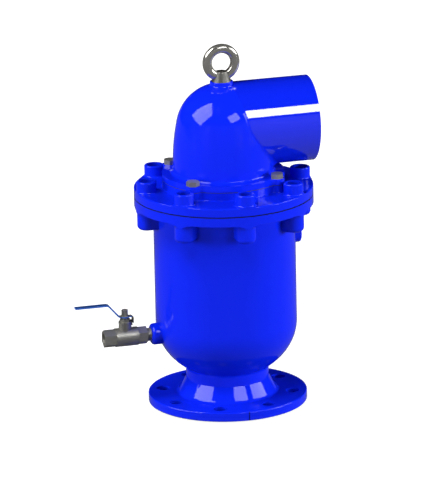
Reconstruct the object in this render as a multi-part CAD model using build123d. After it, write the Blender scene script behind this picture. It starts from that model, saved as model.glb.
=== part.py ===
from build123d import *
import os
from math import acos, atan2, degrees, sqrt

# Flanged air release valve with an outlet elbow, a lifting eye and a drain ball valve.
# Sizes are in millimetres. The origin is the centre of the inlet flange's face,
# +Z is up, +X is the way the outlet points and -X is the drain's side.

# Fits and clearances
running_fit = 0.08
screwed_fit = 0.05
drop_in_fit = 0.3
travel_end_gap = 0.1
stop_gap = 0.2

# Large orifice, and what surrounds it from its edge outwards
orifice_radius = 50
seal_width = 8
seal_outer_radius = orifice_radius + seal_width
retainer_edge = 4
retainer_inner_radius = orifice_radius + retainer_edge
retainer_land = 7.5
retainer_outer_radius = seal_outer_radius + retainer_land
retainer_margin = 0.5
seat_boss_radius = retainer_outer_radius + retainer_margin
rod_radius = 6
rod_seat_gap = 2.5
rod_circle = retainer_outer_radius + rod_seat_gap + rod_radius
rod_wall_gap = 10
body_bore = rod_circle + rod_radius + rod_wall_gap
body_wall = 8
bowl_radius = body_bore + body_wall
cover_screw_offset = 11.75
cover_screw_circle = bowl_radius + cover_screw_offset
cover_boss_radius = 13.8
rim_margin = 0.15
rim_radius = cover_screw_circle + cover_boss_radius + rim_margin

# Inlet flange, DN 100 PN 16
inlet_radius = 50
flange_radius = 110
flange_thickness = 16
raised_face_radius = 78
raised_face_height = 3
flange_bolt_circle = 90
flange_hole_count = 8
flange_hole_radius = 9.5
flange_mark_width = 1.2
flange_mark_depth = 0.8
edge_round = 1.5

# Neck, bowl and wall of the body
body_height = 298.5
hub_radius = 69
hub_height = 20.6
hub_round = 6
neck_wall = 7.4
neck_radius = inlet_radius + neck_wall
neck_round = 5
bowl_depth = 81
bowl_level = 118.3

# Flanged joint between body and cover
body_rim_thickness = 13.9
seam_round = 0.8
cover_rim_thickness = 12.5
cover_screw_count = 8
cover_screw_length = 40
cover_screw_radius = 6
cover_screw_hole_radius = 6.75
cover_head_radius = 9
cover_head_height = 12
cover_head_recess = 19
cover_head_gap = 0.6
cover_boss_height = 16
cover_boss_round = 2
cover_boss_foot = 2.5
tapping_depth = 34
socket_depth = 6
socket_width = 10
lug_depth = 26.6
lug_foot = 6
lug_round = 6
o_ring_inset = 3
o_ring_groove_radius = body_bore + o_ring_inset
o_ring_width = 5
o_ring_depth = 3.6

# Underside of the cover and the seat of the large orifice
spigot_depth = 8
spigot_wall = 7.7
relief_depth = 15.5
seal_thickness = 4
retainer_thickness = 3
retainer_screw_count = 6
retainer_screw_inset = 3.8
retainer_screw_circle = seal_outer_radius + retainer_screw_inset
retainer_screw_radius = 1.5
retainer_screw_head = 2.8
retainer_screw_length = 10

# Pad, gasket and flange of the elbow
pad_height = 10.9
pad_foot = 1.5
gasket_thickness = 1
gasket_margin = 0.6
elbow_flange_thickness = 8.1
ear_count = 4
ear_radius = 10
ear_gap = 1.45
ear_neck_round = 8
elbow_bolt_circle = cover_screw_circle - cover_boss_radius - ear_gap - ear_radius
ear_offset = 0.1
elbow_flange_radius = elbow_bolt_circle - ear_offset
elbow_bolt_radius = 5
elbow_bolt_hole_radius = 5.5
elbow_bolt_width = 16
elbow_bolt_head = 6.4
elbow_bolt_length = 20
elbow_tap_depth = 12.5

# Dome, spout and eye boss of the elbow
elbow_wall = 7
dome_ledge = 15.2
dome_foot_radius = elbow_flange_radius - dome_ledge
dome_foot_height = 12
dome_foot_round = 4
dome_draw_in = 5.1
crown_radius = dome_foot_radius - dome_draw_in
crown_rise = 60
spout_draw_in = 5.1
spout_radius = crown_radius - spout_draw_in
spout_offset = 4.6
spout_reach = 124
spout_blend = 8
eye_boss_radius = 16
eye_boss_rise = 3.6
eye_boss_round = 1.2
eye_boss_foot = 3
eye_tap_spare = 1
inner_boss_radius = 12
inner_boss_floor = 2.7

# Lifting eye bolt
eye_stalk_radius = 13.5
eye_stalk_height = 13.5
eye_stalk_top_radius = 8.4
eye_stalk_round = 0.6
eye_ring_radius = 19.7
eye_section_radius = 6.5
eye_ring_rise = 25.9
eye_shank_radius = 6
eye_shank_length = 18

# Guide rods and float support
rod_count = 4
rod_end_radius = 4
rod_boss_radius = 10
rod_thread_depth = 13.5
support_level = 101
support_thickness = 4
support_hub_radius = 42
support_arm_width = 14
support_eye_radius = 9
support_drain_count = 6
support_drain_circle = 28
support_drain_radius = 4
rod_nut_width = 13
rod_nut_height = 6.5
rod_tail = 8.5

# Kinetic disc with its nozzle and the screws that the float hangs from
disc_lift = 28
disc_thickness = 8
disc_retainer_gap = 0.8
disc_radius = retainer_inner_radius - disc_retainer_gap
disc_rim_width = 2.4
disc_rim_height = 2.4
disc_hub_radius = 14
disc_hub_height = 8
disc_arm_thickness = 6
disc_arm_width = 14
disc_eye_radius = 9
nozzle_bore = 1.25
nozzle_radius = 5
nozzle_tip_radius = 3
nozzle_tip_height = 4
nozzle_head_radius = 8
nozzle_head_height = 3
hanger_screw_count = 3
hanger_screw_circle = 24
hanger_shoulder_radius = 3
hanger_thread_radius = 2
hanger_thread_length = 6
hanger_head_radius = 5
hanger_head_height = 4

# Float
float_lift = 8
float_rod_gap = 4
float_radius = rod_circle - rod_radius - float_rod_gap
float_standoff = 12.2
float_dish = 25
float_crown = 130
float_sheet = 1.5
hanger_plate_radius = 30
hanger_plate_thickness = 3
hanger_stem_radius = 8
pad_seat_radius = 9
pad_seat_height = 1.9
nozzle_pad_radius = 5
nozzle_pad_thickness = 3
nozzle_pad_proud = 1

# Drain boss, rear port and drain nipple
drain_level = 106.7
drain_boss_radius = 15
drain_boss_out = 11
drain_boss_reach = bowl_radius + drain_boss_out
drain_boss_round = 5
drain_bore_radius = 6.5
nipple_radius = 8.6
nipple_bore_radius = 5.5
nipple_screwed_in = 12
nipple_exposed = 6.2
port_level = 233
port_boss_radius = 14
port_boss_out = 9.7
port_boss_reach = bowl_radius + port_boss_out
port_boss_round = 3
port_radius = 6.6
port_plug_length = 11
port_plug_sunk = 1
port_key_width = 6

# Drain ball valve, along the drain's axis from the ball's centre
valve_hex_width = 22
valve_inner_hex = 12.7
valve_barrel_inner = 17.1
valve_barrel_outer = 14.6
valve_barrel_radius = 13
valve_cap_hex = 16
valve_cap_thread_radius = 7.5
valve_cap_thread_depth = 11
valve_bore = 5
ball_radius = 8.6
chamber_radius = 10.5
seat_end = 11
seat_bore_gap = 6
ball_slot_width = 3.5
ball_slot_depth = 3
neck_top = 22.3
valve_neck_radius = 8.8
stem_radius = 4
stem_collar_radius = 5.6
stem_collar_height = 1.7
stem_collar_top = 12.3
packing_level = 14.3
packing_height = 5
packing_radius = 6.5
gland_width = 13
gland_height = 4
lever_level = 28.6
lever_thickness = 1.5
lever_width = 9
lever_hub_radius = 7
lever_front = 12
lever_tab_drop = 8.5
lever_bend_start = 8
lever_bend_reach = 23.9
lever_tip_reach = 69.9
lever_rise = 18.4
lever_bend_round = 5
tab_width = 8
tab_bend_round = 2
stop_lug_width = 3
stop_lug_height = 8
sleeve_wall = 0.4
sleeve_start = 9
sleeve_round = 0.8
lever_nut_width = 8
lever_nut_height = 9.2
lever_nut_spare = 1
lever_stem_radius = 2.5
stem_top = lever_level + lever_thickness + lever_nut_height - lever_nut_spare

# Levels and places worked out from the sizes above
seam = body_height
cover_top = seam + cover_rim_thickness
boss_top = cover_top + cover_boss_height
pad_top = cover_top + pad_height
elbow_base = pad_top + gasket_thickness
elbow_flange_top = elbow_base + elbow_flange_thickness
crown_level = elbow_flange_top + crown_rise
spout_level = crown_level + spout_offset
eye_boss_top = crown_level + crown_radius + eye_boss_rise
eye_tap_end = eye_boss_top - eye_shank_length - eye_tap_spare
cover_underside = seam - spigot_depth
rim_inner = body_bore - drop_in_fit
spigot_inner = rim_inner - spigot_wall
retainer_level = cover_underside - retainer_thickness
disc_rim_top = cover_underside - disc_lift - travel_end_gap
disc_top = disc_rim_top - disc_rim_height
disc_level = disc_top - disc_thickness
nozzle_tip = disc_level - disc_hub_height - nozzle_tip_height
pad_face = nozzle_tip - float_lift - travel_end_gap
hanger_plate_top = pad_face - nozzle_pad_proud - pad_seat_height
hanger_plate_level = hanger_plate_top - hanger_plate_thickness
float_bottom = support_level + support_thickness + stop_gap
float_top = hanger_plate_level - float_standoff
float_seam = (float_bottom + float_top) / 2
eye_centre = eye_boss_top + eye_ring_rise
nipple_outer_end = drain_boss_reach + nipple_exposed
stem_reach = nipple_outer_end + valve_inner_hex + valve_barrel_inner
cover_screw_seat = boss_top - cover_head_recess


def turned(*corners):
    """Turn a closed outline of (radius, height) or (radius, height, rounding) corners about Z."""
    points = [corner[:2] for corner in corners]
    rounds = [corner[2] if len(corner) > 2 else 0 for corner in corners]
    outline = FilletPolyline(*points, radius=rounds, close=True)
    return revolve(Plane.XZ * make_face(outline), Axis.Z)


def rod(radius, low, high):
    """A plain round bar on the Z axis between two heights."""
    return Pos(0, 0, low) * Cylinder(radius, high - low, align=(Align.CENTER, Align.CENTER, Align.MIN))


def tube(outer, inner, low, high):
    """A plain ring on the Z axis between two heights."""
    return rod(outer, low, high) - rod(inner, low, high)


def hexagon(width, low, high, chamfered=False):
    """A hexagon of the given width across flats, with its upper corners turned off if asked."""
    blank = Pos(0, 0, low) * extrude(RegularPolygon(width / 2, 6, major_radius=False), high - low)
    if not chamfered:
        return blank
    corner = width / sqrt(3)
    drop = (corner - width / 2) * 0.6
    return blank & turned((0, low), (corner, low), (corner, high - drop), (width / 2, high), (0, high))


def around(shape, count, radius=0, start=0):
    """Copies of a shape, moved out along X and turned to equal steps about Z."""
    return [Rot(0, 0, start + 360 / count * i) * Pos(radius, 0, 0) * shape for i in range(count)]


def at_retainer_screws(shape):
    """Copies of a shape at the places of the retainer's screws."""
    return around(shape, retainer_screw_count, retainer_screw_circle, 180 / retainer_screw_count)


def cut_all(shape, tools):
    """Cut each tool out of a shape."""
    for tool in tools:
        shape -= tool
    return shape


def add_all(shape, tools):
    """Fuse each tool with a shape."""
    for tool in tools:
        shape += tool
    return shape


def edges_on_level(shape, level, inside):
    """The edges of a shape that lie on a level, within a radius of the Z axis."""
    flat = shape.edges().filter_by_position(Axis.Z, level - 0.01, level + 0.01)
    return flat.filter_by(lambda edge: (edge @ 0.5).X ** 2 + (edge @ 0.5).Y ** 2 < inside ** 2)


def on_drain_axis(shape):
    """Put a shape drawn along +Z from the origin on the drain's axis, pointing out along -X."""
    return Pos(0, 0, drain_level) * Rot(0, -90, 0) * shape


def on_port_axis(shape):
    """Put a shape drawn along +Z from the origin on the rear port's axis, pointing out along +X."""
    return Pos(0, 0, port_level) * Rot(0, 90, 0) * shape


def at_stem(shape):
    """Put a shape drawn about Z from the drain's axis up on the axis of the ball valve's stem."""
    return Pos(-stem_reach, 0, drain_level) * shape


def domed_bar(radius, low, shoulder, crown, level):
    """A round bar whose side bends over a tangent arc into a spherical crown centred at a level."""
    rise = level - shoulder
    bend = (radius ** 2 + rise ** 2 - crown ** 2) / (2 * (radius - crown))
    across = (radius - bend) / (crown - bend)
    along = -rise / (crown - bend)
    turn = degrees(atan2(along, across))
    edges = [
        Polyline((0, level + crown), (0, low), (radius, low), (radius, shoulder)),
        CenterArc((radius - bend, shoulder), bend, 0, turn),
        CenterArc((0, level), crown, turn, 90 - turn),
    ]
    return revolve(Plane.XZ * make_face(edges), Axis.Z)


def bowl_arc(radius, depth, low_radius):
    """The quarter ellipse of a bowl, from a small radius up to its widest level."""
    start = degrees(acos(low_radius / radius))
    return EllipticalCenterArc((0, bowl_level), radius, depth, start_angle=360 - start, arc_size=start)


def bowl_and_wall(low_radius, radius, depth, foot):
    """A solid bowl and wall up to the seam, on a foot given as corners from the axis outwards."""
    arc = bowl_arc(radius, depth, low_radius)
    low = arc @ 0
    points = [corner[:2] for corner in foot] + [(low.X, low.Y)]
    rounds = [corner[2] if len(corner) > 2 else 0 for corner in foot[1:]]
    edges = [
        FilletPolyline(*points, radius=rounds),
        arc,
        Polyline((radius, bowl_level), (radius, seam), (0, seam), points[0]),
    ]
    return revolve(Plane.XZ * make_face(edges), Axis.Z)


def body_lug():
    """One of the round lugs under the body's rim that the cover screws go into, with its web to the wall."""
    rim_low = seam - body_rim_thickness
    low = rim_low - lug_depth
    width = cover_boss_radius
    foot_reach = width + lug_foot + edge_round
    lug = turned(
        (0, low),
        (width, low, lug_round),
        (width, rim_low, lug_foot),
        (foot_reach, rim_low),
        (foot_reach, rim_low + edge_round),
        (0, rim_low + edge_round),
    )
    outline = FilletPolyline((-width, rim_low), (-width, low), (width, low), (width, rim_low),
                             radius=lug_round, close=False)
    section = make_face(outline + Line((width, rim_low), (-width, rim_low)))
    inside = body_bore + body_wall / 2
    web = Pos(inside, 0, 0) * extrude(Plane.YZ * section, cover_screw_circle - inside)
    return Pos(cover_screw_circle, 0, 0) * lug + web


def side_boss(radius, reach, round_off):
    """A round cast boss along +Z that starts inside the body's wall."""
    start = bowl_radius - body_wall / 2
    return turned((0, start), (radius, start), (radius, reach, round_off), (0, reach))


def body_casting():
    """The cast body, open at the top for the cover."""
    foot = [
        (0, 0),
        (raised_face_radius, 0),
        (raised_face_radius, raised_face_height),
        (flange_radius, raised_face_height, edge_round),
        (flange_radius, flange_thickness, edge_round),
        (hub_radius, flange_thickness, hub_round),
        (neck_radius, flange_thickness + hub_height),
    ]
    outside = bowl_and_wall(neck_radius, bowl_radius, bowl_depth, foot)
    neck_edges = outside.edges().filter_by(GeomType.CIRCLE).filter_by(
        lambda edge: abs(edge.radius - neck_radius) < 0.01)
    outside = fillet(neck_edges.sort_by(Axis.Z)[-1], neck_round)
    rim_low = seam - body_rim_thickness
    outside += turned(
        (0, rim_low),
        (rim_radius, rim_low, seam_round),
        (rim_radius, seam, seam_round),
        (0, seam),
    )
    lugs = add_all(Part(), around(body_lug(), cover_screw_count))
    outside += lugs & rod(rim_radius, rim_low - lug_depth, seam)
    outside += on_drain_axis(side_boss(drain_boss_radius, drain_boss_reach, drain_boss_round))
    outside += on_port_axis(side_boss(port_boss_radius, port_boss_reach, port_boss_round))

    inside = bowl_and_wall(inlet_radius, body_bore, bowl_depth - body_wall, [(0, 0), (inlet_radius, 0)])
    body = outside - inside
    body -= tube(o_ring_groove_radius + o_ring_width, o_ring_groove_radius, seam - o_ring_depth, seam)
    flange_hole = rod(flange_hole_radius, raised_face_height, flange_thickness)
    body = cut_all(body, around(flange_hole, flange_hole_count, flange_bolt_circle, 180 / flange_hole_count))
    mark = Box(flange_mark_width, 2 * flange_mark_depth, 2 * flange_thickness)
    body -= Pos(0, -flange_radius, flange_thickness) * mark
    tapping = rod(cover_screw_radius + screwed_fit, seam - tapping_depth, seam)
    body = cut_all(body, around(tapping, cover_screw_count, cover_screw_circle))
    chamber = body_bore - body_wall
    thread_end = drain_boss_reach - nipple_screwed_in
    body -= on_drain_axis(rod(drain_bore_radius, chamber, drain_boss_reach))
    body -= on_drain_axis(rod(nipple_radius + screwed_fit, thread_end, drain_boss_reach))
    body -= on_port_axis(rod(port_radius + screwed_fit, chamber, port_boss_reach))
    return body


def elbow_outline(margin=0):
    """The round outline with ears that the pad, the gasket and the elbow's flange share."""
    outline = Circle(elbow_flange_radius - margin)
    ear = Circle(ear_radius - margin)
    outline = add_all(outline, around(ear, ear_count, elbow_bolt_circle, 180 / ear_count))
    inner_corners = outline.vertices().filter_by(
        lambda corner: corner.X ** 2 + corner.Y ** 2 < (elbow_bolt_circle + ear_radius / 2) ** 2)
    return fillet(inner_corners, ear_neck_round)


def cover_boss():
    """The boss round one cover screw, with a flared foot."""
    foot_reach = cover_boss_radius + cover_boss_foot + edge_round
    return turned(
        (0, seam + edge_round),
        (foot_reach, seam + edge_round),
        (foot_reach, cover_top),
        (cover_boss_radius, cover_top, cover_boss_foot),
        (cover_boss_radius, boss_top, cover_boss_round),
        (0, boss_top),
    )


def cover():
    """The cast cover with the large orifice, its screw bosses and the elbow's pad."""
    plate = turned(
        (0, cover_underside),
        (rim_inner, cover_underside),
        (rim_inner, seam),
        (rim_radius, seam, seam_round),
        (rim_radius, cover_top, edge_round),
        (0, cover_top),
    )
    plate += Pos(0, 0, cover_top) * extrude(elbow_outline(), pad_height)
    plate = fillet(edges_on_level(plate, cover_top, elbow_bolt_circle + 2 * ear_radius), pad_foot)
    bosses = add_all(Part(), around(cover_boss(), cover_screw_count, cover_screw_circle))
    plate += bosses & rod(rim_radius, seam, boss_top)
    relief = tube(spigot_inner, seat_boss_radius, cover_underside, cover_underside + relief_depth)
    rod_boss = rod(rod_boss_radius, cover_underside, cover_underside + relief_depth)
    plate -= cut_all(relief, around(rod_boss, rod_count, rod_circle))
    plate -= rod(orifice_radius, cover_underside, pad_top)
    plate -= rod(seal_outer_radius, cover_underside, cover_underside + seal_thickness)
    tools = around(rod(rod_end_radius + screwed_fit, cover_underside, cover_underside + rod_thread_depth),
                   rod_count, rod_circle)
    tools += around(rod(cover_screw_hole_radius, seam, boss_top), cover_screw_count, cover_screw_circle)
    recess = rod(cover_head_radius + cover_head_gap, cover_screw_seat, boss_top)
    tools += around(recess, cover_screw_count, cover_screw_circle)
    elbow_tap = rod(elbow_bolt_radius + screwed_fit, pad_top - elbow_tap_depth, pad_top)
    tools += around(elbow_tap, ear_count, elbow_bolt_circle, 180 / ear_count)
    tap_end = retainer_level + retainer_screw_length
    retainer_tap = rod(retainer_screw_radius + screwed_fit, cover_underside, tap_end)
    tools += at_retainer_screws(retainer_tap)
    return cut_all(plate, tools)


def cover_o_ring():
    """The sealing ring in the body's groove, squeezed to the groove's depth."""
    inner = o_ring_groove_radius
    outer = inner + o_ring_width
    low = seam - o_ring_depth
    corner = o_ring_depth / 2.5
    return turned((inner, low, corner), (outer, low, corner), (outer, seam, corner), (inner, seam, corner))


def cover_screws():
    """Socket head screws that hold the cover down."""
    head_top = cover_screw_seat + cover_head_height
    screw = turned(
        (0, cover_screw_seat - cover_screw_length),
        (cover_screw_radius, cover_screw_seat - cover_screw_length),
        (cover_screw_radius, cover_screw_seat),
        (cover_head_radius, cover_screw_seat),
        (cover_head_radius, head_top, 1),
        (0, head_top),
    )
    screw -= hexagon(socket_width, head_top - socket_depth, head_top)
    return Compound(around(screw, cover_screw_count, cover_screw_circle))


def dome(wall=0):
    """The elbow's dome as a solid, drawn in from its outer face by a wall."""
    shoulder = elbow_flange_top + dome_foot_height
    return domed_bar(dome_foot_radius - wall, elbow_base, shoulder, crown_radius - wall, crown_level)


def outlet_elbow():
    """The cast elbow that turns the air flow to the side."""
    spout, spout_bore = (Pos(0, 0, spout_level) * Rot(0, 90, 0) * rod(radius, 0, spout_reach)
                         for radius in (spout_radius, spout_radius - elbow_wall))
    flange = Pos(0, 0, elbow_base) * extrude(elbow_outline(), elbow_flange_thickness)
    foot_reach = dome_foot_radius + dome_foot_round + edge_round
    foot = turned(
        (0, elbow_base),
        (foot_reach, elbow_base),
        (foot_reach, elbow_flange_top),
        (dome_foot_radius, elbow_flange_top, dome_foot_round),
        (dome_foot_radius, elbow_flange_top + dome_foot_height),
        (0, elbow_flange_top + dome_foot_height),
    )
    boss_reach = eye_boss_radius + eye_boss_foot + edge_round
    boss_foot = crown_level + sqrt(crown_radius ** 2 - boss_reach ** 2)
    boss = turned(
        (0, crown_level),
        (boss_reach, crown_level),
        (boss_reach, boss_foot),
        (eye_boss_radius, boss_foot, eye_boss_foot),
        (eye_boss_radius, eye_boss_top, eye_boss_round),
        (0, eye_boss_top),
    )
    outside = Rot(0, 0, 180) * dome() + spout
    outside = fillet(outside.edges().filter_by(GeomType.BSPLINE), spout_blend)
    outside += foot + flange + boss
    elbow = outside - (dome(elbow_wall) + spout_bore)
    elbow += rod(inner_boss_radius, eye_tap_end - inner_boss_floor, crown_level + crown_radius)
    elbow -= rod(eye_shank_radius + screwed_fit, eye_tap_end, eye_boss_top)
    bolt_hole = rod(elbow_bolt_hole_radius, elbow_base, elbow_flange_top)
    return cut_all(elbow, around(bolt_hole, ear_count, elbow_bolt_circle, 180 / ear_count))


def elbow_gasket():
    """The flat gasket between the pad and the elbow."""
    sheet = Pos(0, 0, pad_top) * extrude(elbow_outline(gasket_margin), gasket_thickness)
    sheet -= rod(dome_foot_radius - elbow_wall, pad_top, elbow_base)
    hole = rod(elbow_bolt_hole_radius, pad_top, elbow_base)
    return cut_all(sheet, around(hole, ear_count, elbow_bolt_circle, 180 / ear_count))


def elbow_bolts():
    """Hexagon bolts that hold the elbow on its pad."""
    bolt = rod(elbow_bolt_radius, elbow_flange_top - elbow_bolt_length, elbow_flange_top)
    bolt += hexagon(elbow_bolt_width, elbow_flange_top, elbow_flange_top + elbow_bolt_head, chamfered=True)
    return Compound(around(bolt, ear_count, elbow_bolt_circle, 180 / ear_count))


def lifting_eye_bolt():
    """The forged eye bolt, with its ring across the outlet's axis plane."""
    stalk_top = eye_boss_top + eye_stalk_height
    stalk = turned(
        (0, eye_boss_top - eye_shank_length),
        (eye_shank_radius, eye_boss_top - eye_shank_length),
        (eye_shank_radius, eye_boss_top),
        (eye_stalk_radius, eye_boss_top),
        (eye_stalk_top_radius, stalk_top, eye_stalk_round),
        (0, stalk_top),
    )
    return stalk + Pos(0, 0, eye_centre) * Rot(90, 0, 0) * Torus(eye_ring_radius, eye_section_radius)


def orifice_seal():
    """The rubber ring round the large orifice."""
    return tube(seal_outer_radius, orifice_radius, cover_underside, cover_underside + seal_thickness)


def seat_retainer():
    """The ring that clamps the orifice seal under the cover."""
    ring = tube(retainer_outer_radius, retainer_inner_radius, retainer_level, cover_underside)
    return cut_all(ring, at_retainer_screws(retainer_screw(screwed_fit)))


def retainer_screw(margin=0):
    """A countersunk screw, or the hole that it needs when it has a margin."""
    shank = retainer_screw_radius + margin
    head = retainer_screw_head + margin
    return turned(
        (0, retainer_level),
        (head, retainer_level),
        (shank, retainer_level + head - shank),
        (shank, retainer_level + retainer_screw_length),
        (0, retainer_level + retainer_screw_length),
    )


def retainer_screws():
    """The countersunk screws of the seat retainer."""
    return Compound(at_retainer_screws(retainer_screw()))


def guide_rods():
    """Stepped rods: screwed into the cover, with a shoulder under the disc and one over the support."""
    shoulder = support_level + support_thickness
    guide = turned(
        (0, support_level - rod_tail),
        (rod_end_radius, support_level - rod_tail),
        (rod_end_radius, shoulder),
        (rod_radius, shoulder),
        (rod_radius, disc_level),
        (rod_end_radius, disc_level),
        (rod_end_radius, cover_underside + rod_thread_depth),
        (0, cover_underside + rod_thread_depth),
    )
    return Compound(around(guide, rod_count, rod_circle))


def guide_rod_nuts():
    """The nuts under the float support."""
    nut = hexagon(rod_nut_width, support_level - rod_nut_height, support_level)
    nut -= rod(rod_end_radius + screwed_fit, support_level - rod_nut_height, support_level)
    return Compound(around(nut, rod_count, rod_circle))


def spider(hub, arm_width, eye, low, thickness):
    """A flat hub with an arm and an eye for each guide rod."""
    arm = Pos(rod_circle / 2, 0) * Rectangle(rod_circle, arm_width)
    plan = add_all(Circle(hub), around(arm, rod_count) + around(Circle(eye), rod_count, rod_circle))
    return Pos(0, 0, low) * extrude(plan, thickness)


def float_support():
    """The spider at the foot of the guide rods, which also turns the inrush of air aside."""
    plate = spider(support_hub_radius, support_arm_width, support_eye_radius,
                   support_level, support_thickness)
    top = support_level + support_thickness
    tools = around(rod(rod_end_radius + screwed_fit, support_level, top), rod_count, rod_circle)
    tools += around(rod(support_drain_radius, support_level, top), support_drain_count, support_drain_circle)
    return cut_all(plate, tools)


def kinetic_disc():
    """The disc that closes the large orifice, sliding on the guide rods."""
    plate = turned(
        (0, disc_level - disc_hub_height),
        (disc_hub_radius, disc_level - disc_hub_height),
        (disc_hub_radius, disc_level),
        (disc_radius, disc_level, 2),
        (disc_radius, disc_rim_top),
        (disc_radius - disc_rim_width, disc_rim_top),
        (disc_radius - disc_rim_width, disc_top),
        (0, disc_top),
    )
    inner = disc_radius - disc_rim_width
    plate += spider(inner, disc_arm_width, disc_eye_radius, disc_level, disc_arm_thickness)
    nozzle_hole = rod(nozzle_radius + screwed_fit, disc_level - disc_hub_height, disc_top)
    hanger_tap = rod(hanger_thread_radius + screwed_fit, disc_level, disc_level + hanger_thread_length)
    tools = [nozzle_hole] + around(hanger_tap, hanger_screw_count, hanger_screw_circle, 90)
    guide_hole = rod(rod_end_radius + running_fit, disc_level, disc_top)
    tools += around(guide_hole, rod_count, rod_circle)
    return cut_all(plate, tools)


def nozzle():
    """The small orifice, screwed down through the disc's hub."""
    hub_face = disc_level - disc_hub_height
    return turned(
        (nozzle_bore, nozzle_tip),
        (nozzle_tip_radius, nozzle_tip, 0.5),
        (nozzle_radius, hub_face),
        (nozzle_radius, disc_top),
        (nozzle_head_radius, disc_top),
        (nozzle_head_radius, disc_top + nozzle_head_height, 0.5),
        (nozzle_bore, disc_top + nozzle_head_height),
    )


def hanger_screws():
    """Shoulder screws under the disc, on whose heads the float's plate hangs."""
    screw = turned(
        (0, hanger_plate_level - hanger_head_height),
        (hanger_head_radius, hanger_plate_level - hanger_head_height, 0.8),
        (hanger_head_radius, hanger_plate_level),
        (hanger_shoulder_radius, hanger_plate_level),
        (hanger_shoulder_radius, disc_level),
        (hanger_thread_radius, disc_level),
        (hanger_thread_radius, disc_level + hanger_thread_length),
        (0, disc_level + hanger_thread_length),
    )
    return Compound(around(screw, hanger_screw_count, hanger_screw_circle, 90))


def float_form(margin=0):
    """The upper half of the float as a solid dished bar, drawn in by a margin."""
    return domed_bar(float_radius - margin, float_seam, float_top - float_dish, float_crown - margin,
                     float_top - float_crown)


def float_upper_shell():
    """The upper pressed cup of the float."""
    return float_form() - float_form(float_sheet)


def float_lower_shell():
    """The lower pressed cup of the float."""
    return mirror(float_upper_shell(), Plane.XY.offset(float_seam))


def float_hanger_plate():
    """The plate on the float's stem that the hanger screws pass through."""
    stem_foot = float_top - float_dish / 2
    plate = turned(
        (0, stem_foot),
        (hanger_stem_radius, stem_foot),
        (hanger_stem_radius, hanger_plate_level, 2),
        (hanger_plate_radius, hanger_plate_level),
        (hanger_plate_radius, hanger_plate_top),
        (pad_seat_radius, hanger_plate_top),
        (pad_seat_radius, hanger_plate_top + pad_seat_height),
        (0, hanger_plate_top + pad_seat_height),
    )
    plate -= float_form()
    plate -= rod(nozzle_pad_radius, pad_face - nozzle_pad_thickness, pad_face)
    hole = rod(hanger_shoulder_radius + running_fit, hanger_plate_level, hanger_plate_top)
    return cut_all(plate, around(hole, hanger_screw_count, hanger_screw_circle, 90))


def nozzle_seal():
    """The rubber pad that closes the nozzle from below."""
    return rod(nozzle_pad_radius, pad_face - nozzle_pad_thickness, pad_face)


def rear_port_plug():
    """The socket plug in the port on the outlet side."""
    outer = port_boss_reach - port_plug_sunk
    plug = rod(port_radius, outer - port_plug_length, outer)
    plug -= hexagon(port_key_width, outer - port_key_width, outer)
    return Pos(0, 0, port_level) * Rot(0, 90, 0) * plug


def drain_nipple():
    """The short pipe between the body and the ball valve."""
    start = drain_boss_reach - nipple_screwed_in
    end = nipple_outer_end + valve_barrel_inner - valve_inner_hex
    return on_drain_axis(tube(nipple_radius, nipple_bore_radius, start, end))


def drain_valve_body():
    """The ball valve's main part, with its neck and the lever's two stops."""
    inner_end = nipple_outer_end
    barrel_start = stem_reach - valve_barrel_inner
    barrel_end = stem_reach + valve_barrel_outer
    shape = hexagon(valve_hex_width, inner_end, barrel_start)
    shape += rod(valve_barrel_radius, barrel_start, barrel_end)
    shape = on_drain_axis(shape)
    shape += at_stem(rod(valve_neck_radius, 0, neck_top))
    stop = Pos(lever_front / 2, tab_width / 2 + stop_gap + stop_lug_width / 2, neck_top)
    stop *= Box(lever_front, stop_lug_width, stop_lug_height, align=(Align.CENTER, Align.CENTER, Align.MAX))
    shape += at_stem(stop)
    shape += at_stem(mirror(Rot(0, 0, 90) * stop, Plane.XZ))
    thread_end = nipple_outer_end + valve_barrel_inner - valve_inner_hex
    shape -= on_drain_axis(rod(nipple_radius + screwed_fit, inner_end, thread_end))
    shape -= on_drain_axis(rod(valve_bore, thread_end, stem_reach))
    shape -= on_drain_axis(rod(chamber_radius, stem_reach - seat_end, barrel_end))
    shape -= at_stem(rod(stem_collar_radius + running_fit, 0, stem_collar_top))
    shape -= at_stem(rod(stem_radius + running_fit, 0, packing_level))
    shape -= at_stem(rod(packing_radius, packing_level, neck_top))
    return shape


def drain_valve_end_cap():
    """The ball valve's screwed end, with the thread for the drain line."""
    barrel_end = stem_reach + valve_barrel_outer
    end = barrel_end + valve_cap_hex
    cap = on_drain_axis(hexagon(valve_hex_width, barrel_end, end))
    cap += on_drain_axis(rod(chamber_radius - screwed_fit, stem_reach + seat_end, barrel_end))
    cap -= on_drain_axis(rod(valve_bore, stem_reach + seat_end, end))
    cap -= on_drain_axis(rod(valve_cap_thread_radius, end - valve_cap_thread_depth, end))
    return cap


def ball_seats():
    """The two rings on either side of the ball, hollowed to its shape."""
    ring = tube(chamber_radius - screwed_fit, seat_bore_gap, -seat_end, seat_end)
    ring -= Sphere(ball_radius + running_fit)
    ring -= rod(chamber_radius, -ball_radius / 2, ball_radius / 2)
    return at_stem(Rot(0, -90, 0) * ring)


def drain_ball():
    """The bored ball, with the slot that the stem's tang turns it by."""
    ball = Sphere(ball_radius) - Rot(0, 90, 0) * Cylinder(valve_bore, 3 * ball_radius)
    slot = Pos(0, 0, ball_radius) * Box(2 * ball_radius, ball_slot_width, 2 * ball_slot_depth)
    return at_stem(ball - slot)


def stem_packing():
    """The packing round the stem."""
    top = packing_level + packing_height
    return at_stem(tube(packing_radius, stem_radius + running_fit, packing_level, top))


def gland_nut():
    """The nut that presses the packing down."""
    nut = hexagon(gland_width, neck_top, neck_top + gland_height, chamfered=True)
    nut += rod(packing_radius - screwed_fit, packing_level + packing_height, neck_top)
    return at_stem(nut - rod(stem_radius + running_fit, packing_level, neck_top + gland_height))


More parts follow.
